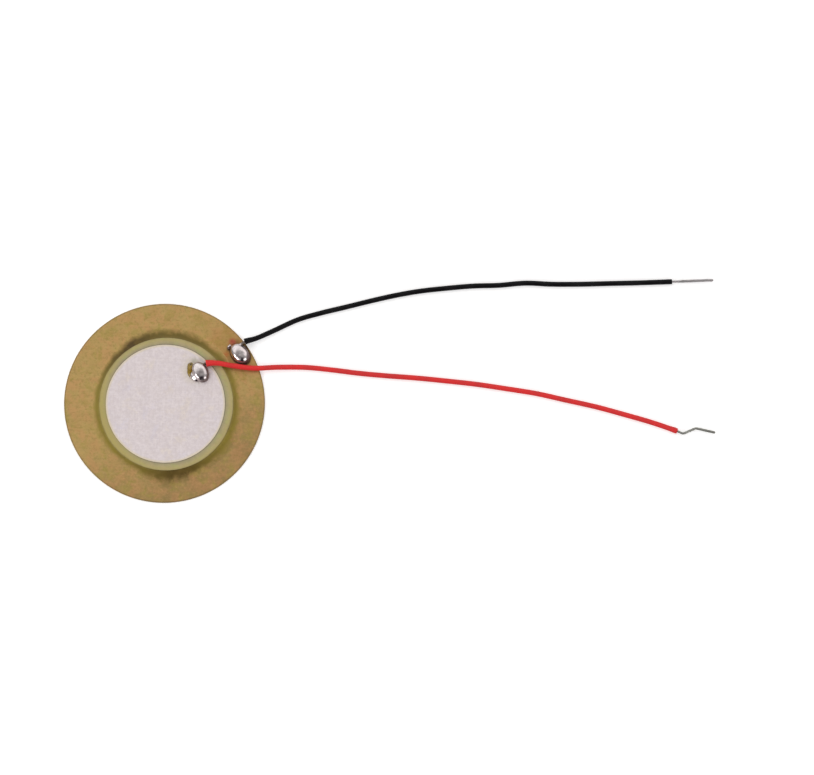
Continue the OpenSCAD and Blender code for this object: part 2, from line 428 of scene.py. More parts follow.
def soft_plastic(name, clean, dulled, dust):
    """Extruded plastic: a satin skin, faintly uneven, with dust and finger marks on it."""
    material, tree, place, surface = new_material(name)
    patches, specks = handled(tree, place, 420.0, 5200.0)
    tone = blend(tree, patches, clean, dulled)
    tone = blend(tree, share_of(tree, specks, 0.35), tone, dust)
    skin = speckle(tree, place, 3800.0, 3.0, 0.6)
    waves = speckle(tree, place, 900.0, 2.0)
    height = calc(tree, "ADD", share_of(tree, skin, 0.3), waves)
    finish_surface(
        tree, surface,
        Base_Color=tone,
        Roughness=ease(tree, patches, 0.0, 1.0, 0.36, 0.5),
        IOR=1.45,
        Specular_IOR_Level=0.15,
        Normal=bump(tree, height, 0.25, 0.00002),
    )
    return material


def tinned_copper(name, clean, dulled):
    """Copper strands under a thin coat of solder, browned by the rosin beside their joint."""
    material, tree, place, surface = new_material(name)
    patches, specks = handled(tree, place, 1900.0, 9000.0)
    tone = blend(tree, patches, clean, dulled)
    tone = blend(tree, share_of(tree, specks, 0.4), tone, colour(112, 98, 84))
    soldered = add_node(tree, "Attribute", {"attribute_name": "soldered"}).outputs["Fac"]
    tone = blend(tree, share_of(tree, soldered, 0.8), tone, colour(100, 84, 70))
    finish_surface(
        tree, surface,
        Base_Color=tone,
        Metallic=1.0,
        Roughness=ease(tree, patches, 0.0, 1.0, 0.27, 0.45),
        Normal=bump(tree, speckle(tree, place, 6000.0), 0.3, 0.00001),
    )
    return material


black_plastic = soft_plastic("black_plastic", colour(5, 4, 6), colour(16, 15, 17), colour(60, 58, 57))
red_plastic = soft_plastic("red_plastic", colour(219, 54, 54), colour(205, 54, 54), colour(228, 120, 110))
bright_tinned = tinned_copper("bright_tinned", colour(186, 181, 183), colour(144, 142, 141))
dull_tinned = tinned_copper("dull_tinned", colour(156, 156, 150), colour(126, 126, 120))

for made, material, node, slot in (
    (black_sleeve, black_plastic, "black_insulation", "black_insulation"),
    (red_sleeve, red_plastic, "red_insulation", "red_insulation"),
    (black_strands, bright_tinned, "black_conductor", "tinned_strands"),
    (red_strands, dull_tinned, "red_conductor", "tinned_strands"),
):
    made.data.materials.clear()
    made.data.materials.append(material)
    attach(made, "root")
    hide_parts(node)

# ---- Brass plate ----
# A disc punched from rolled brass sheet, 0.3 mm thick. The rolls have left fine lines across both
# faces, the air has dulled it, and the soldering has tinted it beside the black lead's joint.


def combine(tree, operation, a, b=(0, 0, 0)):
    """The result of a sum on two vectors, or on one."""
    return add_node(tree, "VectorMath", {"operation": operation}, {0: a, 1: b}).outputs


def far_along(tree, place, direction):
    """How far a place lies in a direction."""
    return combine(tree, "DOT_PRODUCT", place, direction)["Value"]


def rolled_lines_group():
    """The fine parallel lines that rolling or wiping leaves, along X."""
    group, given, end = new_group("rolled_lines", ["Place", "Stretch"], ["Scale"], ["Lines"])
    drawn = combine(group, "MULTIPLY", given["Place"], given["Stretch"])[0]
    fill_inputs(group, end, {"Lines": speckle(group, drawn, given["Scale"], 4.0, 0.65)})
    return group


rolled_lines = rolled_lines_group()


def lines_across(tree, place, scale, stretch):
    """Fine lines, drawn out along the axis whose stretch is least."""
    inputs = {"Place": place, "Scale": scale, "Stretch": stretch}
    return add_node(tree, "Group", {"node_tree": rolled_lines}, inputs).outputs["Lines"]


def round_patch_group():
    """One inside a wavy circle and nothing outside it, with a soft edge."""
    sizes = ["Radius", "Edge", "Waver"]
    group, given, end = new_group("round_patch", ["Place", "Centre"], sizes, ["Inside"])
    away = combine(group, "SUBTRACT", given["Place"], given["Centre"])[0]
    flat = combine(group, "MULTIPLY", away, (1, 1, 0))[0]
    reach = combine(group, "LENGTH", flat)["Value"]
    wave = calc(group, "SUBTRACT", speckle(group, given["Place"], 900.0, 3.0), 0.5)
    reach = calc(group, "MULTIPLY_ADD", wave, given["Waver"], reach)
    outer = calc(group, "ADD", given["Radius"], given["Edge"])
    inner = calc(group, "SUBTRACT", given["Radius"], given["Edge"])
    fill_inputs(group, end, {"Inside": ease(group, reach, inner, outer, 1.0, 0.0)})
    return group


round_patch = round_patch_group()


def inside_circle(tree, place, centre, radius, edge, waver=0.0):
    """One inside a circle seen from above, and nothing outside it."""
    inputs = {"Place": place, "Centre": (*centre, 0), "Radius": radius, "Edge": edge, "Waver": waver}
    return add_node(tree, "Group", {"node_tree": round_patch}, inputs).outputs["Inside"]


def inside_oval(tree, place, centre, half, turn, reach, edge):
    """One inside an oval that is reach times these half-widths, and nothing outside it."""
    settings = {"vector_type": "TEXTURE"}
    inputs = {"Vector": place, "Location": (*centre, 0), "Rotation": (0, 0, turn), "Scale": (*half, 1)}
    turned = add_node(tree, "Mapping", settings, inputs).outputs[0]
    away = combine(tree, "LENGTH", turned)["Value"]
    wave = calc(tree, "SUBTRACT", speckle(tree, place, 1500.0, 3.0), 0.5)
    away = calc(tree, "MULTIPLY_ADD", wave, edge, away)
    return ease(tree, away, reach - edge, reach + edge, 1.0, 0.0)


def with_round_marks(tree, place, tone, joint, stains, where=None):
    """A tone under the round marks of a joint, stains and patches of painted light among them: each
    one's place from the joint, radius, soft edge, share and colour."""
    raggedness = 1.6
    for away, radius, edge, share, mark_tone in stains:
        mark_mask = inside_circle(tree, place, joint + np.array(away), radius, edge, raggedness * edge)
        mark_mask = share_of(tree, mark_mask, share)
        if where is not None:
            mark_mask = calc(tree, "MULTIPLY", where, mark_mask)
        tone = blend(tree, mark_mask, tone, mark_tone)
    return tone


# What the soldering has left on the brass: a broad tan tint, then rosin and scorched flux. The
# last three, beside the drop and the black lead, are partly scorched flux and partly painted shade.
brass_stains_and_shade = (
    ((-0.0014, 0.0004), 0.0032, 0.0022, 0.40, colour(168, 120, 60)),
    ((-0.0002, 0.0000), 0.0016, 0.0006, 0.40, colour(138, 94, 50)),
    ((-0.0004, 0.0016), 0.0003, 0.0004, 0.60, colour(112, 74, 34)),
    ((-0.0011, 0.0016), 0.0004, 0.0004, 0.75, colour(176, 66, 62)),
    ((-0.0018, -0.0001), 0.0002, 0.0004, 0.60, colour(188, 98, 46)),
    ((-0.0023, -0.0004), 0.0003, 0.0004, 0.70, colour(184, 94, 48)),
    ((-0.0029, -0.0006), 0.0002, 0.0004, 0.70, colour(130, 80, 40)),
    # The last three: partly scorched flux, partly painted shade beside the drop and the black lead
    ((0.0004, 0.0013), 0.0003, 0.0003, 0.75, colour(74, 58, 42)),
    ((0.0009, 0.0008), 0.0003, 0.0003, 0.90, colour(58, 46, 38)),
    ((-0.0015, 0.0006), 0.0003, 0.0002, 0.85, colour(52, 38, 26)),
)

# The half-widths and the turn of the solder drop on the brass, seen from above. Scorched flux
# and painted contact shade ring its foot, about a place a little off the joint.
plate_drop_half = (0.00160, 0.00116)
plate_drop_turn = math.radians(-50)
scorch_and_shade_from_joint = (-0.00001, -0.00017)


def brass_marks(tree, place):
    """The patches and specks of handling and the fine lines of rolling, on the brass."""
    patches, specks = handled(tree, place, 420.0, 3600.0)
    return patches, specks, lines_across(tree, place, 5200.0, (0.03, 1.0, 1.0))


def brass_tone(tree, place, patches, lines):
    """Brass that the air has dulled, mottled and finely lined, with painted light: brightest at the
    upper left and darker toward the lower right.
    """
    # Painted light: bright at the upper left, darker toward the lower right
    across = far_along(tree, place, (0.42, -0.91, 0))
    wander = calc(tree, "SUBTRACT", speckle(tree, place, 130.0, 3.0), 0.5)
    across = calc(tree, "MULTIPLY_ADD", wander, 0.010, across)
    tone = blend(tree, ease(tree, across, 0.0, 0.013), colour(192, 162, 101), colour(160, 133, 85))
    warm = ease(tree, speckle(tree, place, 560.0, 4.0, 0.65), 0.42, 0.60)
    tone = blend(tree, share_of(tree, warm, 0.38), tone, colour(208, 150, 104))
    green = ease(tree, speckle(tree, place, 680.0, 4.0, 0.65, 0.6), 0.48, 0.64)
    tone = blend(tree, share_of(tree, green, 0.50), tone, colour(164, 150, 72))
    fine = speckle(tree, place, 2600.0, 3.0, 0.7)
    tone = blend(tree, ease(tree, fine, 0.50, 0.66, 0.0, 0.30), tone, colour(208, 166, 106))
    tone = blend(tree, ease(tree, fine, 0.50, 0.34, 0.0, 0.35), tone, colour(142, 124, 66))
    tone = blend(tree, share_of(tree, patches, 0.25), tone, colour(168, 142, 86))
    return blend(tree, ease(tree, lines, 0.35, 0.7, 0.0, 0.08), tone, colour(112, 88, 50))


def dulled_brass():
    """The plate's brass, with fine scratches, the stains of the soldering, a thin line of painted shade
    along the rim, and dark marks round the drop's foot and beside the black lead that are partly
    scorched flux and partly painted shade.
    """
    material, tree, place, surface = new_material("dulled_brass")
    patches, specks, lines = brass_marks(tree, place)
    tone = brass_tone(tree, place, patches, lines)
    scratches = ease(tree, lines_across(tree, place, 1900.0, (0.25, 3.0, 1.0)), 0.62, 0.72)
    tone = blend(tree, share_of(tree, scratches, 0.12), tone, colour(232, 204, 146))
    tone = blend(tree, share_of(tree, specks, 0.35), tone, colour(118, 92, 52))
    up = add_node(tree, "SeparateXYZ", {}, {0: place}).outputs["Z"]
    upper = ease(tree, up, 0.3 * plate_high.z, 0.7 * plate_high.z, 0.12, 1.0)
    tone = with_round_marks(tree, place, tone, black_joint, brass_stains_and_shade, upper)
    scorch_and_shade_middle = black_joint + np.array(scorch_and_shade_from_joint)
    # Dark ring round the drop's foot: partly scorched flux, partly painted contact shade
    scorch_and_shade = inside_oval(tree, place, scorch_and_shade_middle, plate_drop_half, plate_drop_turn, 1.09, 0.06)
    scorch_and_shade = calc(tree, "MULTIPLY", upper, scorch_and_shade)
    tone = blend(tree, share_of(tree, scorch_and_shade, 0.8), tone, colour(66, 48, 34))
    # Painted shade: a thin dark line along the plate's rim
    within = inside_circle(tree, place, (0, 0), plate_radius - 0.00016, 0.00008)
    tone = blend(tree, ease(tree, within, 0.0, 1.0, 0.45, 0.0), tone, colour(96, 76, 42))
    grain = speckle(tree, place, 7000.0)
    height = calc(tree, "ADD", share_of(tree, lines, 0.7), share_of(tree, grain, 0.5))
    height = calc(tree, "SUBTRACT", height, share_of(tree, scratches, 0.3))
    finish_surface(
        tree, surface,
        Base_Color=tone,
        Metallic=0.7,
        Roughness=ease(tree, patches, 0.0, 1.0, 0.46, 0.56),
        Normal=bump(tree, height, 0.35, 0.000008),
    )
    return material


def give_material(node, material):
    """Puts a material on a CAD node in place of its own."""
    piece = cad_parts[node]
    piece.data.materials.clear()
    piece.data.materials.append(material)


give_material("brass_plate", dulled_brass())

# ---- Adhesive ----
# Brown-green epoxy under the ceramic. Pressing the ceramic down has squeezed it out all round,
# furthest in front, and it has set in a hollow fillet with a wavy edge.

glue_steps = 360
glue_width = 0.00115
ceramic_middle = ((ceramic_low.x + ceramic_high.x) / 2, (ceramic_low.y + ceramic_high.y) / 2)

# Where the glue ran further, in shares of its width, and where it is coloured darker: how much
# more, at what angle from +X, and over how many degrees to each side
least_run = 0.72
run_lobes = ((1.1, 271, 18), (0.62, 320, 34), (0.18, 195, 26), (0.52, 70, 55), (0.32, 112, 18))
least_dark = 0.28
dark_lobes = ((0.72, 123, 32), (0.42, 68, 26), (0.68, 280, 32))


def with_lobes(least, lobes, angle):
    """The least amount and what its lobes add to it, at an angle in degrees."""
    amount = least
    for more, middle, width in lobes:
        away = (angle - middle + 180) % 360 - 180
        amount += more * math.exp(-((away / width) ** 2))
    return amount


def squeeze(angle):
    """How far the glue has run past the ceramic, at an angle in degrees."""
    around = Vector((math.cos(math.radians(angle)), math.sin(math.radians(angle)), 0))
    ragged = 0.09 * noise.noise(around * 9 + Vector((0, 0, 4.2))) + 0.04 * noise.noise(around * 30)
    return glue_width * (with_lobes(least_run, run_lobes, angle) + ragged)


def glue_bond():
    """Rings of a flat disc, drawn out one after another and then set to the fillet's shape.

    Each ring has a share of the glue's spread and a height. The fillet is hollow, over a thin lip.
    """
    glue_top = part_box("lower_electrode")[0].z
    climb = 0.6 * (ceramic_high.z - plate_high.z)
    hollow = 2.4
    lip = 0.000008
    lip_steepness = 12
    rings = [(1.0, plate_high.z)]
    for share in (0.98, 0.94, 0.88, 0.80, 0.70, 0.6, 0.5, 0.4, 0.3, 0.2, 0.1, 0.0):
        inward = 1 - share
        lift = lip * min(1, lip_steepness * inward) + climb * inward ** hollow
        rings.append((share, plate_high.z + lift))
    rings.append((0.0, glue_top))
    step = 0.0001
    bpy.ops.object.select_all(action="DESELECT")
    bpy.ops.mesh.primitive_circle_add(vertices=glue_steps, radius=ceramic_radius, fill_type="NGON")
    piece = bpy.context.active_object
    piece.name = "squeezed_glue"
    bpy.ops.object.mode_set(mode="EDIT")
    for _ in rings[1:]:
        bpy.ops.mesh.extrude_region_move(TRANSFORM_OT_translate={"value": (0, 0, step)})
    bpy.ops.object.mode_set(mode="OBJECT")
    spread = piece.data.attributes.new("spread", "FLOAT", "POINT")
    depth = piece.data.attributes.new("depth", "FLOAT", "POINT")
    for vertex in piece.data.vertices:
        share, height = rings[min(round(vertex.co.z / step), len(rings) - 1)]
        turn = math.atan2(vertex.co.y, vertex.co.x)
        angle = math.degrees(turn)
        reach = ceramic_radius + share * squeeze(angle)
        if 0 < share < 1:
            swell = 1 + 0.25 * noise.noise(Vector((math.cos(turn) * 14, math.sin(turn) * 14, 6 * share)))
            height = plate_high.z + (height - plate_high.z) * swell
        x = ceramic_middle[0] + reach * math.cos(turn)
        y = ceramic_middle[1] + reach * math.sin(turn)
        vertex.co = (x, y, height)
        spread.data[vertex.index].value = share
        depth.data[vertex.index].value = min(1, with_lobes(least_dark, dark_lobes, angle))
    bpy.ops.object.shade_smooth_by_angle(angle=math.radians(40))
    return piece


def cured_epoxy():
    """Olive, brown at the angles that the depth attribute gives, lighter right beside the ceramic, and
    clear at its edge, where the brass shows.
    """
    material, tree, place, surface = new_material("cured_epoxy")
    spread = add_node(tree, "Attribute", {"attribute_name": "spread"}).outputs["Fac"]
    depth = add_node(tree, "Attribute", {"attribute_name": "depth"}).outputs["Fac"]
    patches, specks = handled(tree, place, 900.0, 4200.0)
    olive = blend(tree, patches, colour(150, 134, 50), colour(132, 116, 38))
    brown = blend(tree, patches, colour(75, 56, 13), colour(93, 73, 22))
    # Browner at the angles that the depth attribute gives
    tone = blend(tree, depth, olive, brown)
    pale = calc(tree, "SUBTRACT", 1.0, depth)
    # Lighter right beside the ceramic
    thin = calc(tree, "MULTIPLY", ease(tree, spread, 0.0, 0.25, 0.45, 0.0), pale)
    tone = blend(tree, thin, tone, colour(166, 148, 88))
    mottled = calc(tree, "MULTIPLY_ADD", calc(tree, "SUBTRACT", patches, 0.5), 0.16, spread)
    fade = ease(tree, mottled, 0.28, 1.02)
    brass_patches, _, brass_lines = brass_marks(tree, place)
    tone = blend(tree, fade, tone, brass_tone(tree, place, brass_patches, brass_lines))
    tone = blend(tree, share_of(tree, specks, 0.3), tone, colour(70, 56, 30))
    finish_surface(
        tree, surface,
        Base_Color=tone,
        Metallic=share_of(tree, fade, 0.7),
        Roughness=ease(tree, patches, 0.0, 1.0, 0.36, 0.5),
        IOR=1.45,
        Specular_IOR_Level=0.35,
        Normal=bump(tree, speckle(tree, place, 2600.0, 3.0), 0.3, 0.00002),
    )
    return material


glue = glue_bond()
glue.data.materials.append(cured_epoxy())
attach(glue, "root")
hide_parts("adhesive_bond")

# ---- Ceramic and its electrodes ----
# A pressed and fired disc of lead zirconate titanate, olive and unglazed, with silver paint
# screened on both faces and fired. The upper print stops short of the edge.

silver_middle = ((silver_low.x + silver_high.x) / 2, (silver_low.y + silver_high.y) / 2)

# What the soldering has left on the silver: a yellow tint and two grey films, and below the drop
# two white patches that are a painted highlight
silver_stains_and_highlight = (
    ((-0.0006, 0.0000), 0.0017, 0.0006, 0.30, colour(206, 196, 160)),
    ((-0.0006, 0.0013), 0.0004, 0.0003, 0.45, colour(140, 142, 116)),
    ((0.0001, 0.0016), 0.0002, 0.0003, 0.40, colour(150, 148, 122)),
    # Painted highlight: two white patches below the drop
    ((-0.0003, -0.0016), 0.0001, 0.0002, 0.60, colour(248, 246, 244)),
    ((-0.0003, -0.0020), 0.0001, 0.0002, 0.45, colour(246, 244, 242)),
)


def fired_ceramic():
    """Olive ceramic, mottled, grey where the silver's edge has bled, with a thin line of painted shade
    just outside the silver, yellower to the left and darker at its own edge.
    """
    material, tree, place, surface = new_material("fired_ceramic")
    patches, specks = handled(tree, place, 700.0, 6000.0)
    grain = speckle(tree, place, 5200.0, 4.0, 0.7)
    tone = blend(tree, patches, colour(174, 160, 114), colour(163, 151, 107))
    tone = blend(tree, ease(tree, grain, 0.35, 0.65, 0.0, 0.35), tone, colour(150, 138, 96))
    mossy = speckle(tree, place, 1100.0, 3.0, 0.6, 0.4)
    tone = blend(tree, ease(tree, mossy, 0.52, 0.66, 0.0, 0.5), tone, colour(164, 168, 100))
    tone = blend(tree, ease(tree, mossy, 0.48, 0.34, 0.0, 0.45), tone, colour(178, 156, 116))
    bled = inside_circle(tree, place, silver_middle, silver_radius + 0.00032, 0.00026, 0.0003)
    tone = blend(tree, share_of(tree, bled, 0.4), tone, colour(132, 127, 110))
    # Painted shade: a thin dark line just outside the silver's edge
    beside = inside_circle(tree, place, silver_middle, silver_radius + 0.00012, 0.00006, 0.0001)
    tone = blend(tree, share_of(tree, beside, 0.6), tone, colour(104, 97, 82))
    inner = inside_circle(tree, place, ceramic_middle, ceramic_radius - 0.0004, 0.0004, 0.0004)
    tone = blend(tree, ease(tree, inner, 0.0, 1.0, 0.5, 0.0), tone, colour(174, 158, 94))
    # Yellower toward the left and lower left
    yellower_leftward = ease(tree, far_along(tree, place, (-0.94, -0.34, 0)), 0.003, 0.009, 0.0, 0.6)
    tone = blend(tree, yellower_leftward, tone, colour(170, 154, 80))
    clean = inside_circle(tree, place, ceramic_middle, ceramic_radius - 0.00006, 0.00022, 0.0004)
    tone = blend(tree, ease(tree, clean, 0.0, 1.0, 0.5, 0.0), tone, colour(112, 98, 58))
    tone = blend(tree, share_of(tree, specks, 0.4), tone, colour(120, 108, 70))
    finish_surface(
        tree, surface,
        Base_Color=tone,
        Roughness=ease(tree, patches, 0.0, 1.0, 0.58, 0.72),
        Normal=bump(tree, grain, 0.5, 0.00001),
    )
    return material


def fired_silver():
    """Silver paint: pale, matt and faintly pink, grainy, with a trace of the screen's mesh in it."""
    material, tree, place, surface = new_material("fired_silver")
    patches, specks = handled(tree, place, 330.0, 3600.0)
    tone = blend(tree, patches, colour(231, 221, 222), colour(224, 215, 217))
    broad = speckle(tree, place, 520.0, 3.0, 0.6)
    tone = blend(tree, ease(tree, broad, 0.56, 0.70, 0.0, 0.6), tone, colour(227, 215, 203))
    tone = blend(tree, ease(tree, broad, 0.44, 0.30, 0.0, 0.6), tone, colour(215, 208, 219))
    grain = speckle(tree, place, 2300.0, 5.0, 0.75)
    tone = blend(tree, ease(tree, grain, 0.36, 0.64, 0.0, 0.55), tone, colour(204, 192, 194))
    mesh = calc(
        tree, "ADD",
        lines_across(tree, place, 4600.0, (0.08, 1.6, 1.0)),
        lines_across(tree, place, 4600.0, (1.6, 0.08, 1.0)),
    )
    tone = blend(tree, ease(tree, mesh, 0.85, 1.25, 0.0, 0.4), tone, colour(210, 199, 196))
    tone = blend(tree, share_of(tree, specks, 0.3), tone, colour(172, 158, 152))
    thick = inside_circle(tree, place, silver_middle, silver_radius - 0.00022, 0.00022, 0.0002)
    tone = blend(tree, ease(tree, thick, 0.0, 1.0, 0.7, 0.0), tone, colour(220, 206, 176))
    tone = with_round_marks(tree, place, tone, red_joint, silver_stains_and_highlight)
    finish_surface(
        tree, surface,
        Base_Color=tone,
        Metallic=0.35,
        Roughness=ease(tree, patches, 0.0, 1.0, 0.5, 0.62),
        Normal=bump(tree, calc(tree, "ADD", share_of(tree, mesh, 0.5), grain), 0.3, 0.000008),
    )
    return material


silver_paint = fired_silver()
give_material("piezo_ceramic", fired_ceramic())
give_material("upper_electrode", silver_paint)
give_material("lower_electrode", silver_paint)

# ---- Solder joints ----
# Each lead's strands were tinned, laid on the metal and covered by hand with a drop of solder,
# which wetted the metal, climbed the strands and froze bright and a little uneven.

# The drops are shaped in millimetres, because the tools work badly on tiny shapes
to_metres = 0.001


def rounded_lump(location, radii, turn=0.0, flatness=2.0):
    """A ball stretched to three radii, as the start of a drop. Its own weight flattens its top."""
    bpy.ops.object.select_all(action="DESELECT")
    bpy.ops.mesh.primitive_uv_sphere_add(segments=96, ring_count=64, radius=1)
    lump = bpy.context.active_object
    for vertex in lump.data.vertices:
        reach = min(1, math.hypot(vertex.co.x, vertex.co.y))
        vertex.co.z = math.copysign((1 - reach ** flatness) ** (1 / flatness), vertex.co.z)
    placed = Matrix.Translation(location) @ Matrix.Rotation(turn, 4, "Z")
    lump.data.transform(placed @ Matrix.Diagonal((*radii, 1)))
    return lump


def climbed_collar(start, end, wide, narrow):
    """The solder that has climbed the strands: a cone round them."""
    ahead = Vector(end) - Vector(start)
    bpy.ops.object.select_all(action="DESELECT")
    bpy.ops.mesh.primitive_cone_add(vertices=40, radius1=wide, radius2=narrow, depth=ahead.length)
    collar = bpy.context.active_object
    turn = ahead.to_track_quat("Z", "Y").to_matrix().to_4x4()
    collar.data.transform(Matrix.Translation((Vector(start) + Vector(end)) / 2) @ turn)
    return collar


def frozen_drop(name, lumps, place, voxel, smoothing, seed, unevenness=0.03, dark_foot_turn=-60):
    """Lumps run together into one drop that stands on z = 0, then put in its place.

    Its foot is marked for a dark film, partly rosin and partly painted dark reflection, most on the
    side whose angle in degrees is given last.
    """
    bpy.ops.object.select_all(action="DESELECT")
    for lump in lumps:
        lump.select_set(True)
    bpy.context.view_layer.objects.active = lumps[0]
    bpy.ops.object.join()
    piece = bpy.context.active_object
    piece.name = name
    run = piece.modifiers.new("run together", "REMESH")
    run.mode = "VOXEL"
    run.voxel_size = voxel
    relax = piece.modifiers.new("relax", "SMOOTH")
    relax.factor = 0.5
    relax.iterations = smoothing
    apply_modifiers(piece)
    normals = [vertex.normal.copy() for vertex in piece.data.vertices]
    for vertex, normal in zip(piece.data.vertices, normals):
        slow = noise.noise(vertex.co * 1.3 + Vector((seed, 0, 0)))
        quick = noise.noise(vertex.co * 3.1 + Vector((0, seed, 0)))
        vertex.co += normal * unevenness * (slow + 0.35 * quick)
    bpy.ops.object.mode_set(mode="EDIT")
    bpy.ops.mesh.select_all(action="SELECT")
    bpy.ops.mesh.bisect(plane_co=(0, 0, 0), plane_no=(0, 0, 1), use_fill=True, clear_inner=True)
    bpy.ops.object.mode_set(mode="OBJECT")
    # The foot mask: where the dark film goes, partly rosin, partly painted dark reflection
    foot = piece.data.attributes.new("foot", "FLOAT", "POINT")
    dark_foot_side = Vector((math.cos(math.radians(dark_foot_turn)), math.sin(math.radians(dark_foot_turn))))
    film_top = 0.95
    for vertex in piece.data.vertices:
        toward = Vector((vertex.co.x, vertex.co.y)).normalized().dot(dark_foot_side)
        lowness = min(1, max(0, 2.1 * (1 - vertex.co.z / film_top)))
        foot.data[vertex.index].value = lowness * min(1, max(0, 0.45 + 0.75 * toward))
    piece.data.transform(Matrix.Translation(place) @ Matrix.Scale(to_metres, 4))
    bpy.ops.object.shade_smooth_by_angle(angle=math.radians(60))
    return piece


def bright_solder():
    """Tin and lead, bright as it froze, with a few dull frosted patches, rosin in its skin, and round
    its foot a dark film that is partly rosin and partly painted dark reflection.
    """
    material, tree, place, surface = new_material("bright_solder")
    patches, specks = handled(tree, place, 1500.0, 9000.0)
    tone = blend(tree, patches, colour(210, 202, 202), colour(196, 187, 187))
    tone = blend(tree, share_of(tree, specks, 0.25), tone, colour(120, 104, 90))
    foot = add_node(tree, "Attribute", {"attribute_name": "foot"}).outputs["Fac"]
    wave = calc(tree, "SUBTRACT", speckle(tree, place, 1400.0, 3.0), 0.5)
    # Painted dark reflection, partly a rosin film: darker and duller round the foot
    film_and_painted_light = ease(tree, calc(tree, "MULTIPLY_ADD", wave, 0.8, foot), 0.15, 0.8)
    tone = blend(tree, share_of(tree, film_and_painted_light, 0.9), tone, colour(80, 46, 40))
    finish_surface(
        tree, surface,
        Base_Color=tone,
        Metallic=ease(tree, film_and_painted_light, 0.0, 1.0, 1.0, 0.4),
        Roughness=calc(tree, "MULTIPLY_ADD", film_and_painted_light, 0.16, ease(tree, patches, 0.0, 1.0, 0.06, 0.16)),
        Normal=bump(tree, speckle(tree, place, 3000.0, 2.0), 0.12, 0.00003),
    )
    return material


def joint_drop(name, joint, floor, line, offset, half, height, turn, flatness, seed, dark_foot_turn, lobes=()):
    """A joint's drop. It meets the metal at less than a right angle and climbs the strands."""
    at = np.array((*joint, floor))
    climbed_to = sleeve_start - 7
    strands_in = (line[line_steps // 2] - at) / to_metres
    strands_out = (line[climbed_to] - at) / to_metres
    trimmed = 0.02
    foot_past = 0.03
    foot_height = 0.09
    sunk = 0.1 * height
    wider = 1 / math.sqrt(1 - (sunk / (height + sunk)) ** 2)
    body = ((half[0] - trimmed) * wider, (half[1] - trimmed) * wider, height + sunk)
    foot = (half[0] + foot_past, half[1] + foot_past, foot_height)
    lumps = [
        rounded_lump((*offset, -sunk), body, turn, flatness),
        rounded_lump((*offset, 0), foot, turn),
        climbed_collar(strands_in, strands_out, wide=0.2, narrow=0.165),
    ]
    lumps += [rounded_lump(where, radii, turn) for where, radii in lobes]
    return frozen_drop(name, lumps, tuple(at), voxel=0.03, smoothing=34, seed=seed, dark_foot_turn=dark_foot_turn)


solder = bright_solder()
plate_drop = joint_drop(
    "plate_joint_drop", black_joint, plate_high.z, black_line,
    offset=(-0.04, -0.10), half=[width / to_metres for width in plate_drop_half], height=0.98,
    turn=plate_drop_turn, flatness=2.7, seed=2.0, dark_foot_turn=-12,
)
# A second touch of the iron has left a lobe at this drop's side
silver_drop = joint_drop(
    "electrode_joint_drop", red_joint, silver_high.z, red_line,
    offset=(0.13, -0.22), half=(1.5, 1.08), height=0.93,
    turn=math.radians(-62), flatness=3.0, seed=7.0, dark_foot_turn=5,
    lobes=[((-0.40, -0.66, 0), (0.98, 0.84, 0.52))],
)
bead_at = (black_joint[0] - 0.00157, black_joint[1] + 0.00082, plate_high.z)
bead_lumps = [
    rounded_lump((0, 0, 0.03), (0.19, 0.3, 0.23)),
    rounded_lump((0.2, 0.22, 0), (0.2, 0.12, 0.1), -0.9),
]
bead = frozen_drop(
    "spattered_bead", bead_lumps, bead_at, voxel=0.02, smoothing=6, seed=4.0, unevenness=0.02,
)
for drop, node in (
    (plate_drop, "plate_solder_joint"),
    (silver_drop, "electrode_solder_joint"),
    (bead, "solder_bead"),
):
    drop.data.materials.clear()
    drop.data.materials.append(solder)
    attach(drop, "root")
    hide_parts(node)

# ---- Rosin ----
# Flux from the solder's core that has run out beside the red lead's joint and set as clear amber,
# with a burnt speck in it, and nearly white in front and beside the drop: partly a pale film where
# it is thin, partly a painted highlight.


def amber_rosin():
    """Clear amber, deeper at its core, greyer at its upper left, and nearly white in front and beside
    the drop, partly a pale film and partly a painted highlight.
    """
    material, tree, place, surface = new_material("amber_rosin")
    patches, specks = handled(tree, place, 1300.0, 7000.0)
    tone = blend(tree, patches, colour(206, 172, 36), colour(168, 132, 20))
    along = far_along(tree, place, (0.6, -0.8, 0))
    tone = blend(tree, ease(tree, along, -0.0019, -0.0023, 0.0, 0.5), tone, colour(160, 140, 76))
    core_at = red_joint + np.array((-0.00115, 0.00005))
    core = inside_circle(tree, place, core_at, 0.00025, 0.0003, 0.0003)
    tone = blend(tree, share_of(tree, core, 0.7), tone, colour(150, 104, 12))
    burnt_at = red_joint + np.array((-0.00118, 0.00078))
    burnt = inside_circle(tree, place, burnt_at, 0.00014, 0.0001, 0.0001)
    tone = blend(tree, burnt, tone, colour(50, 30, 12))
    part = add_node(tree, "SeparateXYZ", {}, {0: place}).outputs
    # Painted highlight, partly a pale film: nearly white beside and below the drop
    beside = ease(tree, part["X"], red_joint[0] - 0.00100, red_joint[0] - 0.00082)
    below = ease(tree, part["Y"], red_joint[1] - 0.00078, red_joint[1] - 0.00096)
    film_and_painted_light = calc(tree, "MAXIMUM", beside, below)
    tone = blend(tree, share_of(tree, film_and_painted_light, 0.95), tone, colour(255, 250, 226))
    tone = blend(tree, share_of(tree, specks, 0.4), tone, colour(90, 58, 20))
    finish_surface(
        tree, surface,
        Base_Color=tone,
        Roughness=0.06,
        IOR=1.53,
        Transmission_Weight=0.75,
        Normal=bump(tree, speckle(tree, place, 1800.0, 2.0), 0.3, 0.00003),
    )
    return material


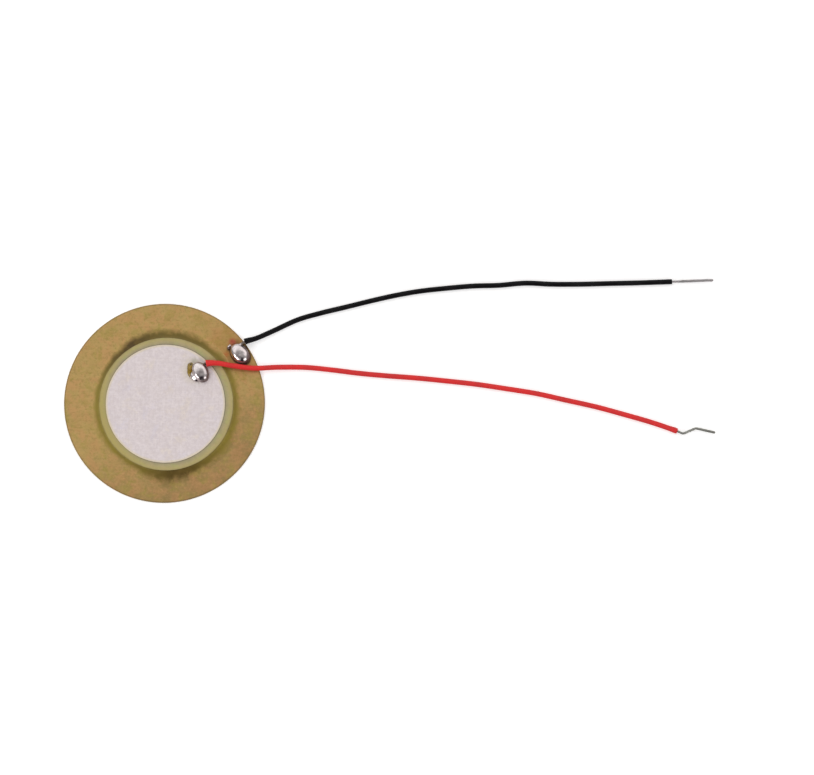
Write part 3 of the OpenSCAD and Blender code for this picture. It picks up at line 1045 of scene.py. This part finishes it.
rosin_at = (red_joint[0] - 0.00116, red_joint[1] + 0.00012, silver_high.z - 0.000003)
rosin_lumps = [
    rounded_lump((0, 0, 0), (0.5, 1.02, 0.34)),
    rounded_lump((-0.12, 0.35, 0), (0.36, 0.6, 0.2)),
    rounded_lump((0.3, -0.9, 0), (0.5, 0.42, 0.16), -0.6),
]
rosin = frozen_drop(
    "rosin_pool", rosin_lumps, rosin_at, voxel=0.03, smoothing=6, seed=11.0, unevenness=0.05,
)
rosin.data.materials.clear()
rosin.data.materials.append(amber_rosin())
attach(rosin, "root")
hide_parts("rosin_residue")

# ---- Bench and light ----
# A plain white bench, soft light from all round, and two lamps in front, a larger one on the
# left and a smaller one on the right, which the solder mirrors.


def white_bench():
    """Matt and pale. It looks white, also where metal mirrors it, and still takes the shadow."""
    material, tree, _, surface = new_material("white_bench")
    finish_surface(tree, surface, Base_Color=(0.8, 0.8, 0.8, 1), Roughness=0.9)
    rays = add_node(tree, "LightPath").outputs
    mirrored = calc(tree, "MAXIMUM", rays["Is Glossy Ray"], rays["Is Transmission Ray"])
    seen = calc(tree, "MAXIMUM", rays["Is Camera Ray"], mirrored)
    glow = add_node(tree, "Emission", {}, {"Color": (1, 1, 1, 1), "Strength": share_of(tree, seen, 0.42)})
    both = add_node(tree, "AddShader", {}, {0: surface.outputs[0], 1: glow.outputs[0]})
    tree.links.new(both.outputs[0], tree.nodes["Material Output"].inputs["Surface"])
    return material


bpy.ops.object.select_all(action="DESELECT")
bpy.ops.mesh.primitive_plane_add(size=4, location=(0, 0, 0))
bench = bpy.context.active_object
bench.name = "bench"
bench.data.materials.append(white_bench())


def aimed(turn, rise):
    """The direction that is turned from +X and raised from the bench by these degrees."""
    turn, rise = math.radians(turn), math.radians(rise)
    return Vector((math.cos(rise) * math.cos(turn), math.cos(rise) * math.sin(turn), math.sin(rise)))


def white_room():
    """Pale walls with two white panels at the back, a grey ceiling and a dark gap in front."""
    world = bpy.data.worlds.new("white_room")
    world.use_nodes = True
    tree = world.node_tree
    way = add_node(tree, "TexCoord").outputs["Generated"]
    part = add_node(tree, "SeparateXYZ", {}, {0: way}).outputs

    def facing(direction, near, far):
        """One within near degrees of a direction, and nothing past far degrees from it."""
        towards = far_along(tree, way, direction)
        return ease(tree, towards, math.cos(math.radians(far)), math.cos(math.radians(near)))

    light = blend(tree, facing(aimed(125, 38), 22, 50), (0.56, 0.55, 0.55, 1), (1.34, 1.34, 1.32, 1))
    light = blend(tree, facing(aimed(42, 38), 14, 36), light, (1.42, 1.37, 1.35, 1))
    back = ease(tree, part["Y"], -0.40, 0.22)
    ceiling = blend(tree, back, (0.12, 0.11, 0.12, 1), (0.50, 0.49, 0.48, 1))
    light = blend(tree, facing(aimed(-80, 82), 3, 36), light, ceiling)
    low = ease(tree, part["Z"], 0.10, 0.34, 1.0, 0.0)
    light = blend(tree, low, light, (0.22, 0.20, 0.20, 1))
    ahead = calc(tree, "MULTIPLY", part["Y"], -1.0)
    aside = calc(tree, "ABSOLUTE", calc(tree, "ARCTAN2", part["X"], ahead))
    gap = ease(tree, aside, math.radians(16), math.radians(34), 1.0, 0.0)
    gap = calc(tree, "MULTIPLY", gap, ease(tree, part["Z"], 0.90, 0.99, 1.0, 0.0))
    light = blend(tree, gap, light, (0.04, 0.03, 0.035, 1))
    tree.links.new(light, tree.nodes["Background"].inputs["Color"])
    return world


bpy.context.scene.world = white_room()


def soft_lamp(name, turn, rise, away, size, brightness):
    """A lamp that points at the middle of the plate. Its brightness is that of its face."""
    lamp = bpy.data.objects.new(name, bpy.data.lights.new(name, "AREA"))
    lamp.data.shape = "RECTANGLE"
    lamp.data.size, lamp.data.size_y = size
    lamp.data.energy = brightness * math.pi * size[0] * size[1]
    lamp.location = aimed(turn, rise) * away
    lamp.rotation_euler = lamp.location.to_track_quat("Z", "Y").to_euler()
    bpy.context.scene.collection.objects.link(lamp)


soft_lamp("front_left_lamp", turn=-144, rise=31, away=0.45, size=(0.26, 0.24), brightness=4.0)
soft_lamp("front_right_lamp", turn=-40, rise=34, away=0.45, size=(0.21, 0.21), brightness=2.7)

bpy.context.scene.view_settings.view_transform = "Standard"
